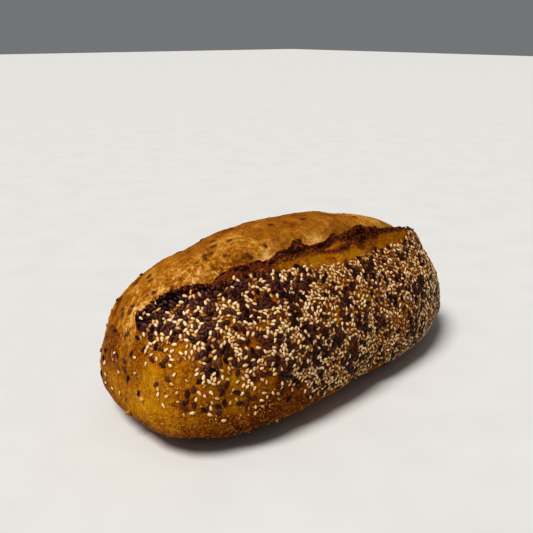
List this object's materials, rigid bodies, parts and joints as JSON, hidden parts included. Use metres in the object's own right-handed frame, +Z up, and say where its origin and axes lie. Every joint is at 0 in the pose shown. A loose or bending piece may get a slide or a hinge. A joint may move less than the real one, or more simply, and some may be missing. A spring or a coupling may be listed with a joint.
{
  "type": "flax and sesame bread loaf",
  "caption": "Long oval hearth loaf with a flat underside, a lengthwise slash, a raised ragged ear and a crust coated with flax and sesame seeds.",
  "frame": {"origin": "on the board, under the middle of the loaf's box", "axes": "+X runs along the loaf from its blunt end to its tapered end, +Y points from the seeded side with the ear to the far side, +Z points up"},
  "size_m": [0.254, 0.1229, 0.099],
  "materials": {
    "crust": "golden brown baked crust, matte with a faint sheen",
    "sesame": "cream to toasted gold seed, satin",
    "flax": "dark purple brown seed, satin",
    "char": "charred crust, matte"
  },
  "bodies": {
    "root": {"loaf": "crust"}
  },
  "joints": []
}
